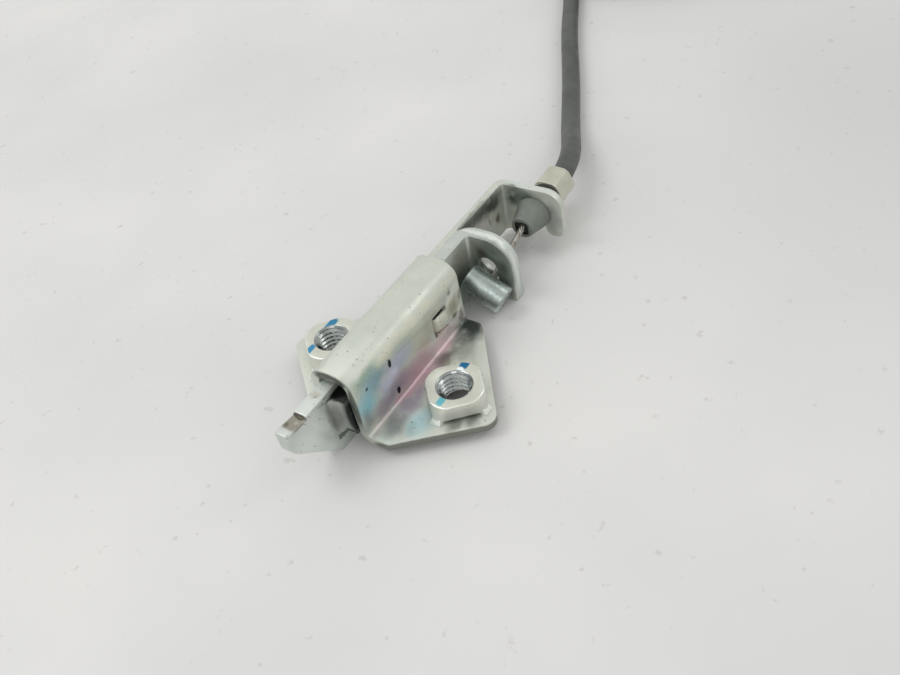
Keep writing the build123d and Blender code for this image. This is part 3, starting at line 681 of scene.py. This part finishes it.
def springX(turned, near, far):
    ends = spring["closedTurns"]
    closed = 2 * spring["barR"] * ends
    if turned < ends:
        return near + closed * turned
    if turned > spring["turns"] - ends:
        return far - closed * (spring["turns"] - turned)
    share = (turned - ends) / (spring["turns"] - 2 * ends)
    return near + closed + (far - near - 2 * closed) * share


def makeSpring():
    low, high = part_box("latch_spring")
    inset = spring["barR"] + spring["endGap"]
    near, far = low[0] / milli + inset, high[0] / milli - inset
    points = []
    for step in range(int(spring["turns"] * spring["steps"]) + 1):
        turned = step / spring["steps"]
        angle = 2 * math.pi * turned
        y = spring["meanR"] * math.cos(angle)
        z = spring["axisZ"] + spring["meanR"] * math.sin(angle)
        points.append(mm(springX(turned, near, far), y, z))
    mesh = bmesh.new()
    sweepBar(mesh, points, spring["barR"], spring["sides"], Vector((1, 0, 0)))
    bmesh.ops.recalc_face_normals(mesh, faces=mesh.faces)
    piece = finishMesh(mesh, "spring_piece", materials["spring"])
    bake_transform(piece)
    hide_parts("latch_spring")


makeSpring()
print("nipple, wire and spring")

# Weld nuts: a square body with round falling corners, four welded feet and a cut thread
nut = {
    "spacing": 27.8,
    "leftTurn": 48,  # degrees
    "rightTurn": 43,
    "flatR": 4.95,
    "topR": 5.5,
    "fall": 0.32,  # how much wider the corners are for each millimetre down
    "cornerBlend": 0.35,
    "baseZ": 2.1,
    "topZ": 5.1,
    "rim": 0.18,
    "rimSteps": 3,
    "collarR": 3.9,
    "land": 0.1,
    "steps": 144,
    "rows": 8,
}
foot = {
    # Corners: near distance, half width there, far distance, half width there
    "base": {"z": 1.6, "corners": (4.7, 1.1, 6.95, 1.1)},
    "top": {"z": 3.3, "corners": (4.6, 0.7, 5.7, 0.7)},
    "rim": 0.2,
}
thread = {
    "minorR": 2.5,
    "depth": 0.5,
    "pitch": 1.0,
    "flankGain": 1.35,
    "crestFlat": 0.12,
    "mouthR": 3.3,
    "bottomZ": 0.4,
    "rows": 94,
}
# The rim slot holds the edge material, a painted highlight on the nuts' top rims and feet; the
# thread slot holds the darker thread material, painted shade
bodySlot, rimSlot, threadSlot = 0, 1, 2


def nutRadius(angle, z):
    flat = nut["flatR"] / max(abs(math.cos(angle)), abs(math.sin(angle)))
    fallen = nut["topR"] + (nut["topZ"] - z) * nut["fall"]
    blend = nut["cornerBlend"]
    share = min(max(0.5 + 0.5 * (fallen - flat) / blend, 0.0), 1.0)
    return fallen + (flat - fallen) * share - blend * share * (1 - share)


def threadRadius(angle, z):
    phase = (z / thread["pitch"] - angle / (2 * math.pi)) % 1.0
    ridge = 1 - abs(2 * phase - 1)
    cut = min(max(thread["flankGain"] * ridge - thread["crestFlat"], 0.0), 1.0)
    mouth = thread["mouthR"] - (nut["topZ"] - z)
    return max(thread["minorR"] + thread["depth"] * cut, mouth)


# The nut's surface, from its base up the outside and down the thread: slot, height, radii
def nutRows(angles, turn):
    yield bodySlot, nut["baseZ"], [nut["collarR"]] * len(angles)
    rimZ = nut["topZ"] - nut["rim"]
    for row in range(nut["rows"] + 1):
        z = nut["baseZ"] + (rimZ - nut["baseZ"]) * row / nut["rows"]
        yield bodySlot, z, [nutRadius(angle - turn, z) for angle in angles]
    # The top rim takes the edge material: a painted highlight
    for step in range(1, nut["rimSteps"] + 1):
        lean = math.radians(90 * step / nut["rimSteps"])
        z = rimZ + nut["rim"] * math.sin(lean)
        inward = nut["rim"] * (1 - math.cos(lean))
        yield rimSlot, z, [nutRadius(angle - turn, z) - inward for angle in angles]
    yield bodySlot, nut["topZ"], [thread["mouthR"] + nut["land"]] * len(angles)
    for row in range(thread["rows"] - 1, -1, -1):
        z = thread["bottomZ"] + (nut["topZ"] - thread["bottomZ"]) * row / thread["rows"]
        yield threadSlot, z, [threadRadius(angle, z) for angle in angles]


def addFoot(mesh, sideY, angle):
    along = Vector((math.cos(angle), math.sin(angle), 0))
    across = Vector((-along.y, along.x, 0))
    rings = []
    for level in (foot["base"], foot["top"]):
        near, nearHalf, far, farHalf = level["corners"]
        ring = []
        for reach, half in ((near, -nearHalf), (far, -farHalf), (far, farHalf), (near, nearHalf)):
            place = along * reach + across * half
            ring.append(mesh.verts.new(mm(place.x, place.y + sideY, level["z"])))
        rings.append(ring)
    lower, upper = rings
    faces = [mesh.faces.new(lower[::-1]), mesh.faces.new(upper)]
    for step in range(4):
        after = (step + 1) % 4
        faces.append(mesh.faces.new((lower[step], lower[after], upper[after], upper[step])))
    # The feet take the edge material: a painted highlight
    for face in faces:
        face.material_index = rimSlot
    edges = list(dict.fromkeys(edge for face in faces for edge in face.edges))
    roundEdges(mesh, edges, foot["rim"])


def makeNut(name, node, sideY, turn):
    mesh = bmesh.new()
    angles = [2 * math.pi * step / nut["steps"] for step in range(nut["steps"])]
    below = None
    for slot, z, radii in nutRows(angles, turn):
        ring = [
            mesh.verts.new(mm(radius * math.cos(angle), sideY + radius * math.sin(angle), z))
            for radius, angle in zip(radii, angles)
        ]
        if below:
            for step in range(nut["steps"]):
                after = (step + 1) % nut["steps"]
                face = mesh.faces.new((below[step], below[after], ring[after], ring[step]))
                face.material_index = slot
        below = ring
    for corner in range(4):
        addFoot(mesh, sideY, turn + math.radians(45 + 90 * corner))
    piece = finishMesh(mesh, name, materials["nut"])
    piece.data.materials.append(materials["thread"])
    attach(piece, "lock_body")
    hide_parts(node)


makeNut("left_nut_piece", "left_weld_nut", nut["spacing"] / 2, math.radians(nut["leftTurn"]))
makeNut("right_nut_piece", "right_weld_nut", -nut["spacing"] / 2, math.radians(nut["rightTurn"]))
print("nuts")

# Conduit with its coil, one cord: first the listed route, then the turns of the coil
conduit = {
    "radius": 2.25,
    "route": [
        (55.5, -3.85, 5.9),
        (62.4, -2.7, 5.66),
        (68.9, -0.3, 4.7),
        (75.2, 3.2, 2.75),
        (81.9, 7.05, 0.7),
        (89.9, 11.2, 0.45),
        (103.6, 18.3, 0.45),
        (124.6, 30.0, 0.45),
        (141.9, 38.3, 0.45),
        (158.5, 47.3, 0.45),
    ],
    "resolution": 12,
    "bevelResolution": 8,
}
coil = {
    "centre": (183.0, 29.5),
    "baseZ": floorZ + 0.6,
    "innerR": 22.75,
    "outerR": 27.25,
    "endR": 28.2,
    "startAngle": 118.5,
    "step": 15.0,  # degrees from one point to the next
    "endTurned": 1148.5,
    # Changes along the coil: the degrees at which each starts, and the degrees that it takes
    "inward": (300, 60),
    "upward": (600, 70),
    "outward": (960, 75),
    "lastOutward": (1122, 25),
}


def changeShare(turned, change):
    start, span = change
    return min(max((turned - start) / span, 0.0), 1.0)


def coilPoint(turned):
    depth = coil["outerR"] - coil["innerR"]
    radius = coil["outerR"] - depth * changeShare(turned, coil["inward"])
    radius += depth * changeShare(turned, coil["outward"])
    radius += (coil["endR"] - coil["outerR"]) * changeShare(turned, coil["lastOutward"])
    height = coil["baseZ"] + conduit["radius"] * (1 + 2 * changeShare(turned, coil["upward"]))
    angle = math.radians(coil["startAngle"] - turned)
    spread = radius / math.cos(math.radians(coil["step"] / 2))
    x = coil["centre"][0] + spread * math.cos(angle)
    y = coil["centre"][1] + spread * math.sin(angle)
    return (x, y, height)


def makeConduit():
    points = list(conduit["route"])
    turned = coil["step"] / 2
    while turned < coil["endTurned"] - coil["step"] / 2:
        points.append(coilPoint(turned))
        turned += coil["step"]
    points.append(coilPoint(coil["endTurned"]))
    cord = nurbsCurve("conduit_cord", points, conduit["resolution"])
    data = cord.data
    data.bevel_depth = conduit["radius"] * milli
    data.bevel_resolution = conduit["bevelResolution"]
    data.use_fill_caps = True
    data.materials.append(materials["conduit"])
    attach(cord, "lock_body")
    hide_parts("conduit", "conduit_coil")


makeConduit()

# Floor and light; lights stand at a place in metres and point at the origin
stage = {
    "halfSize": 3.0,  # metres
    "dark": (208, 208, 208),
    "light": (220, 219, 217),
    "noise": (14, 5),  # scale and detail
    "shade": ((120, -64, floorZ), (110, 110, 9), (200, 200, 200), 0.9, 1.0),
    "marksNoise": (420, 4),
    "marks": (0.66, 0.74, 0.0, 0.35),
    "marksColor": (168, 164, 160),
    "roughness": 0.7,
    "lightSize": 0.4,
    "lights": [
        ("key", (-0.25, 0.45, 0.8), 2.0),
        ("fill", (-0.7, -0.35, 0.6), 0.7),
        ("side", (0.6, -0.5, 0.7), 0.7),
    ],
    "sky": (1.0, 1.0, 0.99, 1),
    "skyStrength": 0.8,
}


def floorMaterial():
    material, tree, shader = newMaterial("floor")
    place = objectPlace(tree)
    color = noiseColor(tree, noiseNode(tree, *stage["noise"], place), stage["dark"], stage["light"])
    color = addPatches(tree, color, place, [stage["shade"]])
    marks = noiseNode(tree, *stage["marksNoise"], place)
    share = rangeNode(tree, marks.outputs["Fac"], *stage["marks"])
    color = mixColor(tree, share, color, stage["marksColor"])
    tree.links.new(color, shader.inputs["Base Color"])
    shader.inputs["Roughness"].default_value = stage["roughness"]
    return material


def makeFloor():
    mesh = bmesh.new()
    bmesh.ops.create_grid(
        mesh, x_segments=1, y_segments=1, size=stage["halfSize"],
        matrix=Matrix.Translation(mm(0, 0, floorZ)),
    )
    data = bpy.data.meshes.new("floor")
    mesh.to_mesh(data)
    mesh.free()
    data.materials.append(floorMaterial())
    return addObject("floor", data)


def makeLight(name, place, power):
    data = bpy.data.lights.new(name, "AREA")
    data.shape = "SQUARE"
    data.size = stage["lightSize"]
    data.energy = power
    light = addObject(name, data)
    light.location = place
    light.rotation_euler = (-Vector(place)).to_track_quat("-Z", "Y").to_euler()
    return light


def makeSky():
    world = bpy.data.worlds.new("world")
    world.use_nodes = True
    back = world.node_tree.nodes["Background"]
    back.inputs["Color"].default_value = stage["sky"]
    back.inputs["Strength"].default_value = stage["skyStrength"]
    bpy.context.scene.world = world


makeSky()
makeFloor()
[makeLight(*choice) for choice in stage["lights"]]
bpy.context.scene.view_settings.view_transform = "Standard"
print("stage")
